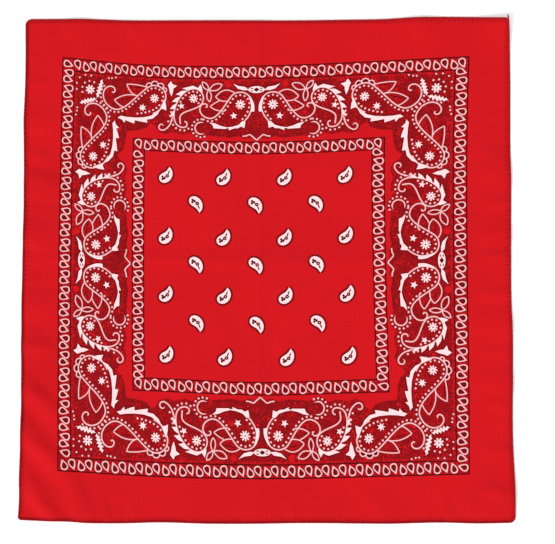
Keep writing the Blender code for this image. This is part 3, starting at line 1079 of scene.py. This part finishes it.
def tube_mesh(points, radii, sides):
    """A closed tube along a line, made from a curve with a round bevel."""
    curve = bpy.data.curves.new("guide", "CURVE")
    curve.dimensions = "3D"
    curve.bevel_depth = 1.0
    curve.bevel_resolution = sides // 4
    curve.use_fill_caps = True
    line = curve.splines.new("POLY")
    line.points.add(len(points) - 1)
    with_weights = np.column_stack([points, np.ones(len(points))]).astype(np.float32)
    line.points.foreach_set("co", with_weights.ravel())
    line.points.foreach_set("radius", np.asarray(radii, np.float32))
    guide = placed(bpy.data.objects.new("guide", curve))
    bpy.context.view_layer.update()
    graph = bpy.context.evaluated_depsgraph_get()
    mesh = bpy.data.meshes.new_from_object(guide.evaluated_get(graph))
    bpy.data.objects.remove(guide)
    bpy.data.curves.remove(curve)
    return mesh


def build_hem(name, centres, widths, cotton, thread):
    """A rolled edge with its overlock thread wound round it."""
    length = run_lengths(centres)
    total = length[-1]
    stations = np.linspace(0, total, int(total / ROLL_STEP) + 1)
    core = points_at(centres, stations)
    width = np.interp(stations, length, widths)
    height = width * ROLL_HEIGHT / ROLL_WIDTH
    base = lift(core[:, 0], core[:, 1])
    points = np.column_stack([core, base + height / 2]) * MM
    roll = tube_mesh(points, (height / 2 - ROLL_UNDER_THREAD) * MM, 8)

    count = int(total / WRAP_PITCH * WRAP_POINTS)
    place = np.linspace(0, total, count)
    angle = 2 * math.pi * place / WRAP_PITCH
    # The wraps are pulled a little unevenly, as a machine's tension does.
    place = place + WRAP_DRIFT * np.sin(place * 0.9) * np.sin(place * 0.23)
    core = points_at(centres, np.clip(place, 0, total))
    side = sideways(points_at(centres, place))
    reach = np.interp(place, length, widths) / 2 - THREAD_WIDTH / 2
    tall = reach * ROLL_HEIGHT / ROLL_WIDTH
    base = lift(core[:, 0], core[:, 1])
    middle = np.interp(place, length, widths) * ROLL_HEIGHT / ROLL_WIDTH / 2
    flat = core + side * (reach * np.cos(angle))[:, None]
    points = np.column_stack([flat, base + middle + tall * np.sin(angle)]) * MM
    wraps = tube_mesh(points, np.full(count, THREAD_WIDTH / 2 * MM), 4)

    tool = bmesh.new()
    tool.from_mesh(roll)
    first = len(tool.faces)
    tool.from_mesh(wraps)
    tool.faces.ensure_lookup_table()
    for index, face in enumerate(tool.faces):
        middle = face.calc_center_median() / MM
        in_tail = middle.x > TOP_RIGHT.x - TAIL_START and middle.y > TOP_RIGHT.y
        face.material_index = 0 if index < first and not in_tail else 1
        face.smooth = True
    bmesh.ops.recalc_face_normals(tool, faces=tool.faces)
    return placed(bpy.data.objects.new(name, finished(tool, name, [cotton, thread])))


# ---------------------------------------------------------------- materials


# The dyes and inks, as sRGB hex.
DEEP_RED, BRIGHT_RED = "#9f0b12", "#c61119"
DARK_INK, BLEACHED = "#280306", "#ebc2c4"
THREAD_DARK, THREAD_LIGHT = "#2c0608", "#560f13"
PAPER_DARK, PAPER_LIGHT = "#f4f4f4", "#fbfbfb"

# The weave's real spacing, and the scale at which a wave texture repeats once in a millimetre.
WEAVE_PITCH = 0.42
WAVE_SCALE = 0.314

# Which sockets of a mix node take its two values, and which gives the mixed one.
MixSockets = namedtuple("MixSockets", "low high mixed")
MIX_SOCKETS = {"RGBA": MixSockets(6, 7, 2), "FLOAT": MixSockets(2, 3, 0)}


def linear(code):
    """A colour written as sRGB hex, in linear light."""
    found = []
    for start in (1, 3, 5):
        value = int(code[start : start + 2], 16) / 255
        found.append(value / 12.92 if value <= 0.04045 else ((value + 0.055) / 1.055) ** 2.4)
    return (*found, 1.0)


class Nodes:
    """A new material. Most methods add one node and give back its result."""

    def __init__(self, name, roughness, sheen=0.0):
        self.material = bpy.data.materials.new(name)
        self.material.use_nodes = True
        self.tree = self.material.node_tree
        self.surface = self.tree.nodes["Principled BSDF"]
        self.fill(self.surface, {"Roughness": roughness, "Metallic": 0.0, "IOR": 1.5})
        self.fill(self.surface, {"Specular IOR Level": 0.06})
        self.fill(self.surface, {"Sheen Weight": sheen, "Sheen Roughness": 0.5})

    def fill(self, node, inputs):
        """Links or sets a node's inputs."""
        for name, value in inputs.items():
            if isinstance(value, bpy.types.NodeSocket):
                self.tree.links.new(value, node.inputs[name])
            else:
                node.inputs[name].default_value = value

    def add(self, kind, inputs, result=0, **settings):
        """Any node, by its kind without its prefix."""
        node = self.tree.nodes.new("ShaderNode" + kind)
        for name, value in settings.items():
            setattr(node, name, value)
        self.fill(node, inputs)
        return node.outputs[result]

    def place(self):
        """The place on the object, in metres."""
        return self.add("TexCoord", {}, "Object")

    def millimetres(self):
        """The place on the object, in millimetres."""
        return self.add("VectorMath", {0: self.place(), "Scale": 1 / MM}, operation="SCALE")

    def maths(self, operation, first, second):
        return self.add("Math", {0: first, 1: second}, operation=operation)

    def noise(self, place, scale, detail=2.0, roughness=0.5):
        inputs = {"Vector": place, "Scale": scale, "Detail": detail, "Roughness": roughness}
        return self.add("TexNoise", inputs, "Fac")

    def waves(self, place, scale, distortion, way):
        inputs = {"Vector": place, "Scale": scale, "Distortion": distortion}
        return self.add("TexWave", inputs, "Fac", bands_direction=way)

    def remap(self, value, low, high, new_low=0.0, new_high=1.0):
        return self.add("MapRange", {"Value": value, 1: low, 2: high, 3: new_low, 4: new_high})

    def mix(self, share, low, high, kind="RGBA"):
        """From the low value to the high one, by the share. Colours may be hex codes."""
        low, high = (linear(end) if isinstance(end, str) else end for end in (low, high))
        sockets = MIX_SOCKETS[kind]
        inputs = {0: share, sockets.low: low, sockets.high: high}
        return self.add("Mix", inputs, sockets.mixed, data_type=kind)

    def bump(self, height, strength, distance, **normal):
        inputs = {"Height": height, "Strength": strength, "Distance": distance}
        return self.add("Bump", {**inputs, **normal})

    def finish(self, colour, **normal):
        """The material, with its colour and its fine relief."""
        self.fill(self.surface, {"Base Color": colour, **normal})
        return self.material


def printed_cotton():
    """Plain-woven printed cotton: matt, with a soft nap, uneven threads and inks soaked in."""
    nodes = Nodes("printed plain-weave cotton", 0.88, 0.015)
    mm = nodes.millimetres()
    # The print's black also holds the painted shade beside the hems, so that shade is darkened like
    # ink.
    inks = nodes.add("Attribute", {}, "Vector", attribute_name="print")
    white, black, scribble = nodes.add("SeparateXYZ", {0: inks}).node.outputs
    hatching = nodes.add("Attribute", {}, "Fac", attribute_name="hatching")

    # The scribbled ground: winding pen lines about 1 mm wide and 3 mm apart, denser in patches.
    bands = nodes.maths("MULTIPLY", nodes.noise(mm, 0.13, 1.0), 7.0)
    wave = nodes.maths("PINGPONG", bands, 0.5)
    patches = nodes.remap(nodes.noise(mm, 0.09, 1.0), 0.3, 0.7, 0.32, 0.54)
    cover = nodes.maths("MULTIPLY", scribble, patches)
    pen = nodes.remap(nodes.maths("SUBTRACT", cover, wave), -0.02, 0.06)
    pen_ink = nodes.maths("MULTIPLY", pen, 0.66)

    # The hatching between the drops and in the leaves: short ticks about 0.8 mm wide.
    edge = nodes.maths("SUBTRACT", nodes.noise(mm, 0.62, 0.5), 0.39)
    ticks = nodes.maths("MULTIPLY", nodes.remap(edge, 0.0, 0.05), hatching)
    tick_ink = nodes.maths("MULTIPLY", ticks, 0.62)
    most = nodes.maths("MAXIMUM", nodes.maths("MAXIMUM", black, pen_ink), tick_ink)
    dark = nodes.maths("MULTIPLY", most, 0.94)

    # Cloudy dye, over hand widths, and slubs: thick threads run along and across. Real threads are
    # 0.4 mm apart, so the slubs are drawn about 1 mm wide, or they wouldn't show.
    slubs = []
    for stretch in ((0.02, 0.75, 1.0), (0.75, 0.02, 1.0)):
        slubs.append(nodes.noise(nodes.add("Mapping", {"Vector": mm, "Scale": stretch}), 1.0))
    slub = nodes.maths("ADD", *slubs)
    tone = nodes.remap(slub, 0.7, 1.3, -0.02, 0.02)
    cloudy = nodes.remap(nodes.noise(mm, 0.011, 3.0), 0.3, 0.7, 0.975, 1.025)
    depth = nodes.remap(nodes.maths("ADD", tone, cloudy), 0.85, 1.15)
    red = nodes.mix(depth, DEEP_RED, BRIGHT_RED)
    inked = nodes.mix(dark, red, DARK_INK)
    colour = nodes.mix(nodes.maths("MULTIPLY", white, 0.97), inked, BLEACHED)

    # The weave itself, as threads that pass over and under.
    column = nodes.waves(mm, WAVE_SCALE / WEAVE_PITCH, 0.3, "X")
    line = nodes.waves(mm, WAVE_SCALE / WEAVE_PITCH, 0.3, "Y")
    over = nodes.add("TexChecker", {"Vector": mm, "Scale": 1 / WEAVE_PITCH}, "Fac")
    fine = nodes.bump(nodes.mix(over, column, line, "FLOAT"), 0.18, 0.00012)
    soft = nodes.bump(nodes.noise(mm, 0.05, 4.0, 0.6), 0.35, 0.0022, Normal=fine)
    return nodes.finish(colour, Normal=nodes.bump(slub, 0.3, 0.00025, Normal=soft))


def overlock_thread():
    """Spun polyester sewing thread, dark red, with a faint gloss and the twist of its plies."""
    nodes = Nodes("dark red spun overlock thread", 0.62, 0.15)
    mm = nodes.millimetres()
    leaning = nodes.add("Mapping", {"Vector": mm, "Rotation": (0.0, 0.6, 0.8)})
    plies = nodes.waves(leaning, 1.3, 1.5, "X")
    shade = nodes.maths("MULTIPLY", plies, nodes.noise(mm, 0.25))
    colour = nodes.mix(shade, THREAD_DARK, THREAD_LIGHT)
    return nodes.finish(colour, Normal=nodes.bump(plies, 0.4, 0.00008))


def studio_paper():
    """White seamless paper, matt, with hardly any grain."""
    nodes = Nodes("white seamless paper", 0.9)
    grain = nodes.noise(nodes.place(), 900.0)
    return nodes.finish(nodes.mix(grain, PAPER_DARK, PAPER_LIGHT))


# ---------------------------------------------------------------- the studio


# The two lamps: where each shines from, how wide it looks in degrees, and its strength.
LampRow = namedtuple("LampRow", "name place angle strength")
LAMPS = [
    LampRow("key light", (-1.3, -1.5, 1.0), 26, 3.2),
    LampRow("fill light", (1.2, 1.6, 1.6), 40, 0.5),
]
ROOM_LIGHT = 0.93

# The camera looks straight down. Its view's middle and width are in metres, its parts in mm.
VIEW_MIDDLE = (0.0119, -0.0029)
VIEW_WIDTH = 0.60806
SENSOR_WIDTH = 36.0
LENS = 100.0


def build_studio():
    """A white floor, a soft light from above, and the camera straight over the cloth."""
    tool = bmesh.new()
    bmesh.ops.create_grid(tool, x_segments=1, y_segments=1, size=3.0)
    floor = placed(bpy.data.objects.new("floor", finished(tool, "floor", [studio_paper()])))

    world = bpy.data.worlds.new("soft room")
    world.use_nodes = True
    background = world.node_tree.nodes["Background"].inputs
    background["Color"].default_value = (1.0, 1.0, 1.0, 1.0)
    background["Strength"].default_value = ROOM_LIGHT
    bpy.context.scene.world = world

    for row in LAMPS:
        lamp = bpy.data.lights.new(row.name, "SUN")
        lamp.angle = math.radians(row.angle)
        lamp.energy = row.strength
        holder = placed(bpy.data.objects.new(row.name, lamp))
        holder.location = row.place
        holder.rotation_euler = (-Vector(row.place)).to_track_quat("-Z", "Y").to_euler()

    camera = bpy.data.cameras.new("camera")
    camera.lens = LENS
    camera.sensor_width = SENSOR_WIDTH
    camera.clip_end = 20.0
    holder = placed(bpy.data.objects.new("camera", camera))
    holder.location = (*VIEW_MIDDLE, VIEW_WIDTH / SENSOR_WIDTH * LENS)
    bpy.context.scene.camera = holder
    bpy.context.scene.view_settings.view_transform = "Standard"


def past_the_roll(line):
    """The line from where it clears the other hem's end at its corner."""
    start = (ROLL_WIDTH + SEAM_GAP) / RING_STEP
    whole = int(start)
    first = line[whole] + (start - whole) * (line[whole + 1] - line[whole])
    return np.vstack([first, line[whole + 1 :]])


def main():
    sides = outline_sides()
    rows = [even(side, RING_STEP) for side in sides]
    outline = np.vstack([row[:-1] for row in rows])
    way_in = inward_normals(outline)
    cotton, thread = printed_cotton(), overlock_thread()

    cloth = build_cloth(outline + way_in * CLOTH_INSET, cotton)
    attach(cloth, "root")
    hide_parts("panel")

    roll = outline + way_in * ROLL_WIDTH / 2
    starts = np.cumsum([0] + [len(row) - 1 for row in rows])
    left_top = np.vstack([past_the_roll(roll[starts[3] :]), roll[: starts[1]]])
    right_in = sideways(rows[2][-2:])[0]
    end = rows[2][-1] + right_in * ROLL_WIDTH / 2
    bottom_right = np.vstack([past_the_roll(roll[starts[1] : starts[3]]), end])
    widths = [ROLL_WIDTH] * len(bottom_right)
    for row in THREAD_TAIL:
        bottom_right = np.vstack([bottom_right, end + np.array([-row.left, row.up])])
        widths.append(row.width)
    hems = [
        build_hem("hem_left_top", left_top, [ROLL_WIDTH] * len(left_top), cotton, thread),
        build_hem("hem_bottom_right", bottom_right, widths, cotton, thread),
    ]
    for hem, node in zip(hems, ("edge_roll_left_top", "edge_roll_bottom_right")):
        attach(hem, "root")
        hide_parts(node)

    build_studio()


main()
